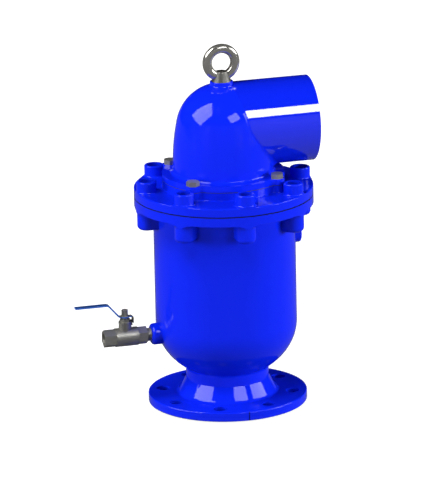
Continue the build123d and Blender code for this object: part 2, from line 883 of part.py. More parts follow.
def drain_stem():
    """The stem, from its tang in the ball's slot to above the lever."""
    collar_low = stem_collar_top - stem_collar_height
    stem = turned(
        (0, collar_low),
        (stem_collar_radius, collar_low),
        (stem_collar_radius, stem_collar_top - running_fit),
        (stem_radius, stem_collar_top - running_fit),
        (stem_radius, lever_level),
        (lever_stem_radius, lever_level),
        (lever_stem_radius, stem_top, 0.6),
        (0, stem_top),
    )
    tang_low = ball_radius - ball_slot_depth
    tang = Box(stem_radius * 2, ball_slot_width, collar_low - tang_low,
               align=(Align.CENTER, Align.CENTER, Align.MIN))
    return at_stem(stem + Pos(0, 0, tang_low) * tang)


def lever_path():
    """The lever's centre line from the front of its hub to its tip, in the plane of the flow."""
    middle = lever_level + lever_thickness / 2
    return [(lever_front, middle), (-lever_bend_start, middle), (-lever_bend_reach, middle + lever_rise),
            (-lever_tip_reach, middle + lever_rise)]


def strip(points, rounds, thickness, width):
    """A bent strip of sheet that follows a path in the XZ plane."""
    path = FilletPolyline(*points, radius=rounds)
    return extrude(Plane.XZ * trace(path, thickness), width / 2, both=True)


def drain_lever():
    """The lever, bent from strip, with the tab that meets the stops."""
    front, *path = lever_path()
    tab_reach = lever_front - lever_thickness / 2
    tab_path = [(tab_reach, lever_level - lever_tab_drop), (tab_reach, front[1]), (0, front[1])]
    lever = strip([(0, front[1])] + path, lever_bend_round, lever_thickness, lever_width)
    lever += strip(tab_path, tab_bend_round, lever_thickness, tab_width)
    lever += rod(lever_hub_radius, lever_level, lever_level + lever_thickness)
    return at_stem(lever - rod(lever_stem_radius + screwed_fit, lever_level, lever_level + lever_thickness))


def lever_sleeve():
    """The soft sleeve over the lever's slope and grip."""
    front, foot, bend, tip = lever_path()
    share = (sleeve_start - lever_bend_start) / (lever_bend_reach - lever_bend_start)
    sleeve_path = [(-sleeve_start, foot[1] + share * lever_rise), bend, (tip[0] - sleeve_wall, tip[1])]
    thickness = lever_thickness + 2 * sleeve_wall
    sleeve = strip(sleeve_path, lever_bend_round, thickness, lever_width + 2 * sleeve_wall)
    side_faces = sleeve.faces().sort_by(Axis.Y)
    sleeve = fillet(side_faces[0].edges() + side_faces[-1].edges(), sleeve_round)
    lever = strip([foot, bend, tip], lever_bend_round, lever_thickness, lever_width)
    return at_stem(sleeve - lever)


def lever_nut():
    """The nut that holds the lever on its stem."""
    low = lever_level + lever_thickness
    nut = hexagon(lever_nut_width, low, low + lever_nut_height, chamfered=True)
    return at_stem(nut - rod(lever_stem_radius + screwed_fit, low, low + lever_nut_height))


pieces = [
    body_casting,
    cover,
    cover_o_ring,
    cover_screws,
    outlet_elbow,
    elbow_gasket,
    elbow_bolts,
    lifting_eye_bolt,
    orifice_seal,
    seat_retainer,
    retainer_screws,
    guide_rods,
    guide_rod_nuts,
    float_support,
    kinetic_disc,
    nozzle,
    hanger_screws,
    float_upper_shell,
    float_lower_shell,
    float_hanger_plate,
    nozzle_seal,
    rear_port_plug,
    drain_nipple,
    drain_valve_body,
    drain_valve_end_cap,
    ball_seats,
    drain_ball,
    stem_packing,
    gland_nut,
    drain_stem,
    drain_lever,
    lever_sleeve,
    lever_nut,
]

os.makedirs("parts", exist_ok=True)
for piece in pieces:
    export_step(piece(), f"parts/{piece.__name__}.step")
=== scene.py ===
"""Looks of the air release valve in Blender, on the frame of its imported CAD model.

Each sub-assembly is a class that dresses its CAD nodes with procedural finishes. DrainValve also adds
the two screw threads that can be seen and that the CAD leaves plain. Studio holds the camera, the
floor, the lamps and the panels that the paint mirrors. Lengths are metres in the CAD's frame unless a
name says otherwise.
"""
from __future__ import annotations

import logging
import math
from dataclasses import dataclass
from enum import Enum

import bmesh
import bpy
from mathutils import Matrix, Vector

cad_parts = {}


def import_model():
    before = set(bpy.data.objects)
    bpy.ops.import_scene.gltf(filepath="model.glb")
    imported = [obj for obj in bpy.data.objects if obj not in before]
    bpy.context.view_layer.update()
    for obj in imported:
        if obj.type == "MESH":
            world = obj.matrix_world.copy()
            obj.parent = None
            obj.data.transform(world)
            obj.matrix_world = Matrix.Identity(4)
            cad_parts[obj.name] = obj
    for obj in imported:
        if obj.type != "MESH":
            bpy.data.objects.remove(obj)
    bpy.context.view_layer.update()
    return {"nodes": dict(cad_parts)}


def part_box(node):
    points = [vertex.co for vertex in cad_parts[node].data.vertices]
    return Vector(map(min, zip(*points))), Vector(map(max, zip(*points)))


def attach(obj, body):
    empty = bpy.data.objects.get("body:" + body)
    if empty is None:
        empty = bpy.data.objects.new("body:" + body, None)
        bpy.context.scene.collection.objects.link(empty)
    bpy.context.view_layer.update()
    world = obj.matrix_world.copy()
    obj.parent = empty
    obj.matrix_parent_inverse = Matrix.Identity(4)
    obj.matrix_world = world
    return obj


log = logging.getLogger("air_release_valve")

Colour = tuple[float, float, float]


class Body(Enum):
    """The bodies that the added pieces ride on."""

    HOUSING = "housing"


class Slot(Enum):
    """The record's material slots that the added pieces use."""

    STEEL = "stainless"


class Facing(Enum):
    """Which faces of a bent strip are meant."""

    UP = "up"
    SIDEWAYS = "sideways"


def grey(value: float) -> tuple[float, float, float, float]:
    """Give an opaque grey of one value."""
    return (value, value, value, 1.0)


def corners_of(node: bpy.types.Object) -> list[Vector]:
    """Give a node's corners in the CAD's frame, in the order of its mesh."""
    return [node.matrix_world @ corner.co for corner in node.data.vertices]


def normals_of(node: bpy.types.Object) -> list[Vector]:
    """Give the directions that a node's faces look in, in the order of its mesh."""
    turn = node.matrix_world.to_3x3()
    return [turn @ face.normal for face in node.data.polygons]


def reaches_of(corners: list[Vector]) -> list[float]:
    """Give the distance of each corner from the valve's upright axis."""
    return [math.hypot(corner.x, corner.y) for corner in corners]


def aim(direction: Vector) -> Matrix:
    """Give the turn that points Z along a direction."""
    return direction.to_track_quat("Z", "Y").to_matrix().to_4x4()


def link_mesh(name: str, mesh: bmesh.types.BMesh) -> bpy.types.Object:
    """Turn a finished mesh into an object of the scene.

    Args:
        name: Name of the object.
        mesh: Its mesh, which is freed.

    Returns:
        The new object.
    """
    data = bpy.data.meshes.new(name)
    mesh.to_mesh(data)
    mesh.free()
    made = bpy.data.objects.new(name, data)
    bpy.context.scene.collection.objects.link(made)
    return made


def mixed(tree: bpy.types.NodeTree, share: bpy.types.NodeSocket, first: bpy.types.NodeSocket,
          second: bpy.types.NodeSocket) -> bpy.types.NodeSocket:
    """Mix two shaders.

    Args:
        tree: The node tree to add to.
        share: The share of the second shader, from 0 to 1.
        first: The shader that shows at 0.
        second: The shader that shows at 1.

    Returns:
        The mixed shader.
    """
    node = tree.nodes.new("ShaderNodeMixShader")
    for socket, source in zip(node.inputs, (share, first, second)):
        tree.links.new(source, socket)
    return node.outputs[0]


def split_by_ray(tree: bpy.types.NodeTree, lighting: bpy.types.NodeSocket,
                 mirrored: bpy.types.NodeSocket, seen: bpy.types.NodeSocket) -> bpy.types.NodeSocket:
    """Choose a shader by the way in which it is met.

    Args:
        tree: The node tree to add to.
        lighting: The shader that lights other surfaces.
        mirrored: The shader that shows in reflections.
        seen: The shader that the camera sees.

    Returns:
        The shader that suits each ray.
    """
    path = tree.nodes.new("ShaderNodeLightPath")
    unseen = mixed(tree, path.outputs["Is Glossy Ray"], lighting, mirrored)
    return mixed(tree, path.outputs["Is Camera Ray"], unseen, seen)


@dataclass(frozen=True)
class Relief:
    """One layer of fine bumps on a surface.

    Attributes:
        size: Width of a typical bump.
        depth: Height of the bumps.
        stretch: How much finer the bumps are along X, Y and Z.
    """

    size: float
    depth: float
    stretch: tuple[float, float, float] = (1.0, 1.0, 1.0)


@dataclass(frozen=True)
class Finish:
    """A surface finish that becomes one node material.

    Attributes:
        name: Name of the material.
        colour: Main colour, linear.
        second: Colour that the main one drifts to in soft patches, linear.
        patch: Width of those patches.
        metallic: 1 for bare metal, 0 for everything else.
        roughness: Lowest and highest roughness, which follow the patches.
        specular: Strength of the mirror reflection of a finish that isn't metal.
        reliefs: Layers of bumps, coarse ones first.
        index: Index of refraction.
        detail: How many finer layers each noise pattern has.
    """

    name: str
    colour: Colour
    second: Colour
    patch: float
    metallic: float
    roughness: tuple[float, float]
    specular: float = 0.5
    reliefs: tuple[Relief, ...] = ()
    index: float = 1.5
    detail: float = 3.0

    def material(self) -> bpy.types.Material:
        """Build the node material.

        Returns:
            The new material.
        """
        made = bpy.data.materials.new(self.name)
        made.use_nodes = True
        tree = made.node_tree
        shader = tree.nodes["Principled BSDF"]
        place = tree.nodes.new("ShaderNodeTexCoord").outputs["Object"]
        patches = self._noise(tree, place, Relief(self.patch, 0.0))
        mix = tree.nodes.new("ShaderNodeMix")
        mix.data_type = "RGBA"
        mix.inputs["A"].default_value = (*self.colour, 1.0)
        mix.inputs["B"].default_value = (*self.second, 1.0)
        tree.links.new(patches, mix.inputs["Factor"])
        tree.links.new(mix.outputs["Result"], shader.inputs["Base Color"])
        rough = tree.nodes.new("ShaderNodeMapRange")
        rough.inputs["To Min"].default_value = self.roughness[0]
        rough.inputs["To Max"].default_value = self.roughness[1]
        tree.links.new(patches, rough.inputs["Value"])
        tree.links.new(rough.outputs["Result"], shader.inputs["Roughness"])
        shader.inputs["Metallic"].default_value = self.metallic
        shader.inputs["Specular IOR Level"].default_value = self.specular
        shader.inputs["IOR"].default_value = self.index
        normal = None
        for relief in self.reliefs:
            bump = tree.nodes.new("ShaderNodeBump")
            bump.inputs["Distance"].default_value = relief.depth
            tree.links.new(self._noise(tree, place, relief), bump.inputs["Height"])
            if normal is not None:
                tree.links.new(normal, bump.inputs["Normal"])
            normal = bump.outputs["Normal"]
        if normal is not None:
            tree.links.new(normal, shader.inputs["Normal"])
        return made

    def _noise(self, tree: bpy.types.NodeTree, place: bpy.types.NodeSocket,
               relief: Relief) -> bpy.types.NodeSocket:
        """Add a noise pattern.

        Args:
            tree: The material's node tree.
            place: Where on the object each point lies.
            relief: The size and the stretch of the pattern.

        Returns:
            The pattern's value.
        """
        mapping = tree.nodes.new("ShaderNodeMapping")
        mapping.inputs["Scale"].default_value = relief.stretch
        tree.links.new(place, mapping.inputs["Vector"])
        noise = tree.nodes.new("ShaderNodeTexNoise")
        noise.inputs["Scale"].default_value = 1.0 / relief.size
        noise.inputs["Detail"].default_value = self.detail
        tree.links.new(mapping.outputs["Vector"], noise.inputs["Vector"])
        return noise.outputs["Fac"]


PAINT_BLUES = ((0.0018, 0.0109, 0.49), (0.0017, 0.0103, 0.47))
TURNING_MARKS = (Relief(0.004, 0.00003, (12.0, 1.0, 1.0)),)
VINYL_GRAIN = (Relief(0.005, 0.00012), Relief(0.0008, 0.00002))

EPOXY = Finish("blue_epoxy_on_iron", *PAINT_BLUES, patch=0.06, metallic=0.0, roughness=(0.04, 0.07),
               specular=0.25, reliefs=(Relief(0.010, 0.00007), Relief(0.0026, 0.00002)))
GLOSS = Finish("glossy_epoxy_on_spout", *PAINT_BLUES, patch=0.06, metallic=0.0, roughness=(0.03, 0.06),
               reliefs=(Relief(0.012, 0.00002),), index=2.1)
# Painted shade: a dark finish on the rounded seam between body and cover and in the notch of the bottom
# flange, where shade falls.
SEAM_AND_NOTCH_PAINTED_SHADE = Finish("painted_shade_in_seam_and_notch", (0.002, 0.004, 0.03), (0.002, 0.003, 0.02), patch=0.01, metallic=0.0,
              roughness=(0.6, 0.8), specular=0.1)
FORGED = Finish("forged_stainless", (0.40, 0.39, 0.36), (0.35, 0.34, 0.315), patch=0.012,
                metallic=0.85, roughness=(0.12, 0.19), reliefs=(Relief(0.006, 0.00004),))
TURNED = Finish("turned_stainless", (0.30, 0.295, 0.27), (0.26, 0.255, 0.235), patch=0.006,
                metallic=0.85, roughness=(0.40, 0.50), reliefs=TURNING_MARKS)
# Painted shade: a darker copy of the turned steel for the cone under the eye's ring.
TURNED_CONE_PAINTED_SHADE = Finish("turned_stainless_in_shade", (0.11, 0.108, 0.10), (0.095, 0.094, 0.088), patch=0.006,
              metallic=0.85, roughness=(0.40, 0.50), reliefs=TURNING_MARKS)
PRESSED = Finish("pressed_stainless", (0.72, 0.71, 0.69), (0.64, 0.63, 0.61), patch=0.03, metallic=1.0,
                 roughness=(0.22, 0.32),
                 reliefs=(Relief(0.02, 0.00006), Relief(0.002, 0.00001, (1.0, 1.0, 8.0))))
BRASS = Finish("turned_brass", (0.72, 0.52, 0.22), (0.62, 0.44, 0.18), patch=0.005, metallic=1.0,
               roughness=(0.18, 0.28), reliefs=(Relief(0.003, 0.00002, (1.0, 1.0, 10.0)),))
SLEEVE = Finish("blue_vinyl", (0.013, 0.085, 0.38), (0.011, 0.072, 0.33), patch=0.01, metallic=0.0,
                roughness=(0.30, 0.42), reliefs=VINYL_GRAIN)
# Painted shade: a darker copy of the blue vinyl for the sleeve's upward faces, which the lamps light
# less.
SLEEVE_PAINTED_SHADE = Finish("blue_vinyl_with_painted_shade_on_top", (0.004, 0.028, 0.13), (0.003, 0.020, 0.095), patch=0.01,
                    metallic=0.0, roughness=(0.35, 0.45), reliefs=VINYL_GRAIN)
RUBBER = Finish("black_rubber", (0.012, 0.012, 0.013), (0.018, 0.018, 0.019), patch=0.01, metallic=0.0,
                roughness=(0.55, 0.70), reliefs=(Relief(0.0015, 0.00003),))
PTFE = Finish("white_ptfe", (0.80, 0.80, 0.77), (0.74, 0.74, 0.71), patch=0.01, metallic=0.0,
              roughness=(0.40, 0.50), reliefs=(Relief(0.002, 0.00002),))


class Dresser:
    """Gives nodes and pieces their finishes, building each material once."""

    def __init__(self, nodes: dict[str, bpy.types.Object]) -> None:
        """Keep the frame's CAD objects by name."""
        self.nodes = nodes
        self.made: dict[str, bpy.types.Material] = {}

    def material(self, finish: Finish) -> bpy.types.Material:
        """Give the material of a finish, built at its first use.

        Args:
            finish: The finish.

        Returns:
            Its material.
        """
        if finish.name not in self.made:
            self.made[finish.name] = finish.material()
        return self.made[finish.name]

    def paint(self, thing: bpy.types.Object, finish: Finish) -> None:
        """Put one finish on an object."""
        thing.data.materials.clear()
        thing.data.materials.append(self.material(finish))

    def mark(self, name: str, faces: list[int], finish: Finish) -> None:
        """Give some faces of a CAD node another finish.

        Args:
            name: Name of the CAD node.
            faces: Indices of the faces.
            finish: Their finish.
        """
        data = self.nodes[name].data
        data.materials.append(self.material(finish))
        for index in faces:
            data.polygons[index].material_index = len(data.materials) - 1
        log.info("gave %d faces of %s the finish %s", len(faces), name, finish.name)

    def dress(self, finish: Finish, *names: str) -> None:
        """Put one finish on CAD nodes.

        Args:
            finish: Their finish.
            names: Names of the CAD nodes.
        """
        for name in names:
            self.paint(self.nodes[name], finish)
            log.info("dressed %s with %s", name, finish.name)


@dataclass(frozen=True)
class Thread:
    """A screw thread, as one helical ridge on a round bar or in a round hole.

    Attributes:
        name: Name of the piece.
        start: Point on the axis where the thread starts.
        axis: Direction in which it runs.
        radius: Radius of the bar or hole that it lies on.
        length: Length along the axis.
        pitch: Distance from turn to turn.
        height: How far the crest stands out; negative in a hole.
        steps: How many sections one turn has.
        sunk_share: Depth of the ridge's foot under the surface, as a share of the height.
        crest_side: Half the crest's width, as a share of the pitch.
        run_outs: How many times the fading stretch at each end goes into the length.
    """

    name: str
    start: Vector
    axis: Vector
    radius: float
    length: float
    pitch: float
    height: float
    steps: int = 36
    sunk_share: float = 0.2
    crest_side: float = 0.12
    run_outs: float = 6.0

    def build(self, body: Body, slot: Slot) -> bpy.types.Object:
        """Build the ridge.

        Args:
            body: The body that it rides on.
            slot: Its material slot in the record; not used.

        Returns:
            The new object.
        """
        turns = (self.length - self.pitch) / self.pitch
        count = int(turns * self.steps)
        sunk = -self.sunk_share * self.height
        section = ((sunk, -0.5), (self.height, -self.crest_side),
                   (self.height, self.crest_side), (sunk, 0.5))
        mesh = bmesh.new()
        rings = []
        for i in range(count + 1):
            angle = math.tau * i / self.steps
            fade = min(1.0, self.run_outs * i / count, self.run_outs * (count - i) / count)
            along = self.pitch * (0.5 + i / self.steps)
            ring = []
            for out, side in section:
                reach = self.radius + (out * fade if out * self.height > 0 else out)
                ring.append(mesh.verts.new((reach * math.cos(angle), reach * math.sin(angle),
                                            along + side * self.pitch)))
            rings.append(ring)
        for low, high in zip(rings, rings[1:]):
            for k in range(len(section)):
                after = (k + 1) % len(section)
                mesh.faces.new((low[k], low[after], high[after], high[k]))
        mesh.faces.new(rings[0])
        mesh.faces.new(rings[-1])
        bmesh.ops.recalc_face_normals(mesh, faces=mesh.faces[:])
        mesh.transform(Matrix.Translation(self.start) @ aim(self.axis))
        made = link_mesh(self.name, mesh)
        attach(made, body.value)
        log.info("built %s with %d turns", self.name, int(turns))
        return made


@dataclass
class Castings:
    """The painted iron castings: body, cover and elbow.

    Attributes:
        names: The castings' nodes.
        spout_node: The node whose spout has the higher gloss.
        face_tolerance: How far a corner may lie off the spout's round outside or its end.
        spout_lean: How far that outside may look along the spout.
        seam_band: Height above and below the seam in which its rim is measured.
        seam_depth: Height and depth of the rounded edges at the seam.
        flange_low: Height under which the bottom flange's rim is measured.
        flange_high: Height under which the notch lies.
        notch_start: How far in from the flange's rim the notch's faces start.
        notch_end: How far in from the rim they end.
        notch_lean: How far those faces may look up or down.
    """

    names: tuple[str, ...] = ("body_casting", "cover", "outlet_elbow")
    spout_node: str = "outlet_elbow"
    face_tolerance: float = 0.0003
    spout_lean: float = 0.02
    seam_band: float = 0.005
    seam_depth: float = 0.0009
    flange_low: float = 0.012
    flange_high: float = 0.03
    notch_start: float = 0.0004
    notch_end: float = 0.006
    notch_lean: float = 0.3

    def dress(self, dresser: Dresser) -> None:
        """Paint the castings, glossier on the spout's outside, with painted shade in the seam and the
        notch.

        Args:
            dresser: Gives nodes and pieces their finishes.
        """
        dresser.dress(EPOXY, *self.names)
        dresser.mark(self.spout_node, self._spout_faces(dresser.nodes[self.spout_node]), GLOSS)
        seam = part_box("body_casting")[1].z
        # Painted shade on the seam's rounded edges and in the notch.
        for name in ("body_casting", "cover"):
            dresser.mark(name, self._seam_faces(dresser.nodes[name], seam), SEAM_AND_NOTCH_PAINTED_SHADE)
        dresser.mark("body_casting", self._notch_faces(dresser.nodes["body_casting"]), SEAM_AND_NOTCH_PAINTED_SHADE)

    def _notch_faces(self, body: bpy.types.Object) -> list[int]:
        """Find the upright faces of the notch in the bottom flange's rim, which get painted shade.

        Args:
            body: The body's CAD object.

        Returns:
            The indices of those faces.
        """
        corners = corners_of(body)
        reaches = reaches_of(corners)
        edge = max(reach for reach, corner in zip(reaches, corners) if corner.z < self.flange_low)
        found = []
        for face, normal in zip(body.data.polygons, normals_of(body)):
            middle = sum(reaches[i] for i in face.vertices) / len(face.vertices)
            if (corners[face.vertices[0]].z < self.flange_high
                    and edge - self.notch_end < middle < edge - self.notch_start
                    and abs(normal.z) < self.notch_lean):
                found.append(face.index)
        return found

    def _seam_faces(self, casting: bpy.types.Object, seam: float) -> list[int]:
        """Find the rounded faces on both sides of the seam between body and cover, which get painted
        shade.

        Args:
            casting: The body's or the cover's CAD object.
            seam: Height of the seam.

        Returns:
            The indices of those faces.
        """
        corners = corners_of(casting)
        reaches = reaches_of(corners)
        edge = max(reach for reach, corner in zip(reaches, corners)
                   if abs(corner.z - seam) < self.seam_band)
        return [face.index for face in casting.data.polygons
                if all(abs(corners[i].z - seam) < self.seam_depth and reaches[i] > edge - self.seam_depth
                       for i in face.vertices)]

    def _spout_faces(self, elbow: bpy.types.Object) -> list[int]:
        """Find the faces of the spout's round outside.

        Args:
            elbow: The elbow's CAD object.

        Returns:
            The indices of those faces.
        """
        corners = corners_of(elbow)
        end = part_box(self.spout_node)[1].x
        mouth = [corner.z for corner in corners if corner.x > end - self.face_tolerance]
        level, radius = (max(mouth) + min(mouth)) / 2, (max(mouth) - min(mouth)) / 2
        found = []
        for face, normal in zip(elbow.data.polygons, normals_of(elbow)):
            around = [corners[i] for i in face.vertices]
            reaches = [math.hypot(corner.y, corner.z - level) for corner in around]
            if (abs(normal.x) < self.spout_lean and min(corner.x for corner in around) > 0.0
                    and min(reaches) > radius - self.face_tolerance
                    and max(reaches) < radius + self.face_tolerance):
                found.append(face.index)
        return found


@dataclass
class Fasteners:
    """The screws, bolts, plugs and the lifting eye on the outside.

    Attributes:
        forged: The nodes of forged steel.
        turned: The nodes of turned steel.
        cone_rise: Lowest and highest rise of the cone's faces.
        cone_core: Distance from the eye's axis within which no face is the cone's.
        cone_match: How closely the cone's faces look away from that axis, 1 for exactly.
    """

    forged: tuple[str, ...] = ("lifting_eye_bolt", "cover_screws")
    turned: tuple[str, ...] = ("elbow_bolts", "rear_port_plug")
    cone_rise: tuple[float, float] = (0.30, 0.42)
    cone_core: float = 0.004
    cone_match: float = 0.98

    def dress(self, dresser: Dresser) -> None:
        """Give the fasteners their steel, with painted shade on the turned cone under the eye's ring.

        Args:
            dresser: Gives nodes and pieces their finishes.
        """
        dresser.dress(FORGED, *self.forged)
        dresser.dress(TURNED, *self.turned)
        # Painted shade on the eye bolt's cone.
        dresser.mark("lifting_eye_bolt", self._cone_faces(dresser.nodes["lifting_eye_bolt"]), TURNED_CONE_PAINTED_SHADE)

    def _cone_faces(self, eye: bpy.types.Object) -> list[int]:
        """Find the faces of the cone between the eye's foot and its ring, which get painted shade.

        Args:
            eye: The eye bolt's CAD object.

        Returns:
            The indices of those faces.
        """
        low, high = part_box("lifting_eye_bolt")
        ring_radius = (high.x - low.x) / 2
        found = []
        for face, normal in zip(eye.data.polygons, normals_of(eye)):
            middle = eye.matrix_world @ face.center
            out = Vector((middle.x - (low.x + high.x) / 2, middle.y - (low.y + high.y) / 2))
            if (self.cone_rise[0] < normal.z < self.cone_rise[1] and middle.z < high.z - ring_radius
                    and out.length > self.cone_core
                    and out.normalized().dot(normal.xy.normalized()) > self.cone_match):
                found.append(face.index)
        return found


@dataclass
class Seals:
    """The rubber and PTFE seals.

    Attributes:
        rubber: The nodes of black rubber.
        white: The nodes of white PTFE.
    """

    rubber: tuple[str, ...] = ("cover_o_ring", "elbow_gasket", "orifice_seal", "nozzle_seal")
    white: tuple[str, ...] = ("ball_seats", "stem_packing")

    def dress(self, dresser: Dresser) -> None:
        """Give the seals their materials."""
        dresser.dress(RUBBER, *self.rubber)
        dresser.dress(PTFE, *self.white)


@dataclass
class Mechanism:
    """The inner parts that close the orifices: rods, support, disc, nozzle and float.

    Attributes:
        turned: The nodes of turned steel.
        pressed: The nodes of pressed sheet steel.
        brass: The nodes of turned brass.
    """

    turned: tuple[str, ...] = ("seat_retainer", "retainer_screws", "guide_rods", "guide_rod_nuts",
                               "hanger_screws")
    pressed: tuple[str, ...] = ("float_support", "kinetic_disc", "float_upper_shell", "float_lower_shell",
                                "float_hanger_plate")
    brass: tuple[str, ...] = ("nozzle",)

    def dress(self, dresser: Dresser) -> None:
        """Give the inner parts their metals.

        Args:
            dresser: Gives nodes and pieces their finishes.
        """
        dresser.dress(TURNED, *self.turned)
        dresser.dress(PRESSED, *self.pressed)
        dresser.dress(BRASS, *self.brass)


@dataclass
class DrainValve:
    """The lever ball valve on the drain, with the threads that the CAD draws plain.

    Attributes:
        steel: The nodes of turned steel.
        mouth_radius: Radius of the bore at the valve's open end.
        mouth_depth: Length of the thread in that bore.
        pipe_pitch: Pitch of both pipe threads.
        pipe_thread_height: Height of their ridges.
        nipple_radius: Radius of the nipple.
        nipple_bared: Length of the nipple that shows.
        tab_depth: Length of the stop tab's stretch, from the lever's end on the body's side.
        up_rise: Rise above which a face of the sleeve looks upwards and gets painted shade.
        side_rise: Rise, up or down, under which a face of the lever looks sideways.
    """

    steel: tuple[str, ...] = ("drain_nipple", "drain_valve_body", "drain_valve_end_cap", "gland_nut",
                              "drain_ball", "drain_stem", "drain_lever", "lever_nut")
    mouth_radius: float = 0.0075
    mouth_depth: float = 0.011
    pipe_pitch: float = 0.00134
    pipe_thread_height: float = 0.0006
    nipple_radius: float = 0.0086
    nipple_bared: float = 0.0062
    tab_depth: float = 0.003
    up_rise: float = 0.5
    side_rise: float = 0.4

    def dress(self, dresser: Dresser) -> None:
        """Give the valve its steel and its sleeve, with painted shade on the sleeve's upward faces, and
        cut its visible threads.

        Args:
            dresser: Gives nodes and pieces their finishes.
        """
        dresser.dress(TURNED, *self.steel)
        dresser.dress(SLEEVE, "lever_sleeve")
        # Painted shade on the sleeve's upward faces.
        dresser.mark("lever_sleeve", self._facing(dresser.nodes["lever_sleeve"], Facing.UP), SLEEVE_PAINTED_SHADE)
        dresser.mark("drain_lever", self._edge_faces(dresser.nodes["drain_lever"]), SLEEVE)
        for thread in self._threads():
            dresser.paint(thread.build(Body.HOUSING, Slot.STEEL), TURNED)

    def _facing(self, strip: bpy.types.Object, facing: Facing) -> list[int]:
        """Find the faces of the lever or its sleeve that look one way.

        Args:
            strip: The CAD object.
            facing: The way in which they look.

        Returns:
            The indices of those faces.
        """
        rises = [normal.z for normal in normals_of(strip)]
        if facing is Facing.UP:
            return [index for index, rise in enumerate(rises) if rise > self.up_rise]
        return [index for index, rise in enumerate(rises) if abs(rise) < self.side_rise]

    def _edge_faces(self, lever: bpy.types.Object) -> list[int]:
        """Find the lever's cut edges, apart from its stop tab.

        Args:
            lever: The lever's CAD object.

        Returns:
            The indices of those faces.
        """
        tab_start = max(corner.co.x for corner in lever.data.vertices) - self.tab_depth
        return [index for index in self._facing(lever, Facing.SIDEWAYS)
                if lever.data.polygons[index].center.x < tab_start]

    def _threads(self) -> tuple[Thread, Thread]:
        """Place the threads that can be seen.

        Returns:
            The thread in the valve's open end and the one on the nipple.
        """
        cap_low, cap_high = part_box("drain_valve_end_cap")
        valve_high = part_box("drain_valve_body")[1]
        level = (cap_low.z + cap_high.z) / 2
        outwards = Vector((-1.0, 0.0, 0.0))
        mouth = Thread("drain_mouth_thread", Vector((cap_low.x + self.mouth_depth, 0.0, level)), outwards,
                       self.mouth_radius, self.mouth_depth, self.pipe_pitch, -self.pipe_thread_height)
        nipple = Thread("drain_nipple_thread", Vector((valve_high.x + self.nipple_bared, 0.0, level)),
                        outwards, self.nipple_radius, self.nipple_bared, self.pipe_pitch,
                        self.pipe_thread_height)
        return mouth, nipple


@dataclass(frozen=True)
class Softbox:
    """A soft lamp that lights the valve and isn't mirrored in it.

    Attributes:
        name: Name of the lamp.
        azimuth: Direction round Z in which it stands, in degrees from +X.
        elevation: Its height above the horizon, in degrees.
        light: How much light falls on a surface that faces it.
        size: Its width and height.
        distance: Distance from the valve.
    """

    name: str
    azimuth: float
    elevation: float
    light: float
    size: float = 1.6
    distance: float = 5.0

    def build(self, target: Vector) -> None:
        """Hang the lamp.

        Args:
            target: The point that it faces.
        """
        lamp = bpy.data.lights.new(self.name, "AREA")
        lamp.shape = "SQUARE"
        lamp.size = self.size
        lamp.energy = self.light * math.pi * self.distance ** 2
        made = bpy.data.objects.new(self.name, lamp)
        bpy.context.scene.collection.objects.link(made)
        turn, rise = math.radians(self.azimuth), math.radians(self.elevation)
        away = Vector((math.cos(turn) * math.cos(rise), math.sin(turn) * math.cos(rise), math.sin(rise)))
        made.matrix_world = Matrix.Translation(target + away * self.distance) @ aim(away)
        made.visible_camera = False
        made.visible_glossy = False


@dataclass(frozen=True)
class Card:
    """A bright panel far off that is seen only as a reflection.

    Attributes:
        name: Name of the panel.
        corners: Its corners in order round its edge.
        radiance: Brightness of its face.
    """

    name: str
    corners: tuple[tuple[float, float, float], ...]
    radiance: float

    def build(self) -> None:
        """Build the panel."""
        mesh = bmesh.new()
        mesh.faces.new([mesh.verts.new(corner) for corner in self.corners])
        made = link_mesh(self.name, mesh)
        glow = bpy.data.materials.new(self.name)
        glow.use_nodes = True
        tree = glow.node_tree
        tree.nodes.clear()
        lit = tree.nodes.new("ShaderNodeEmission")
        lit.inputs["Strength"].default_value = self.radiance
        output = tree.nodes.new("ShaderNodeOutputMaterial")
        tree.links.new(lit.outputs[0], output.inputs["Surface"])
        made.data.materials.append(glow)
        made.visible_camera = False
        made.visible_diffuse = False
        made.visible_shadow = False


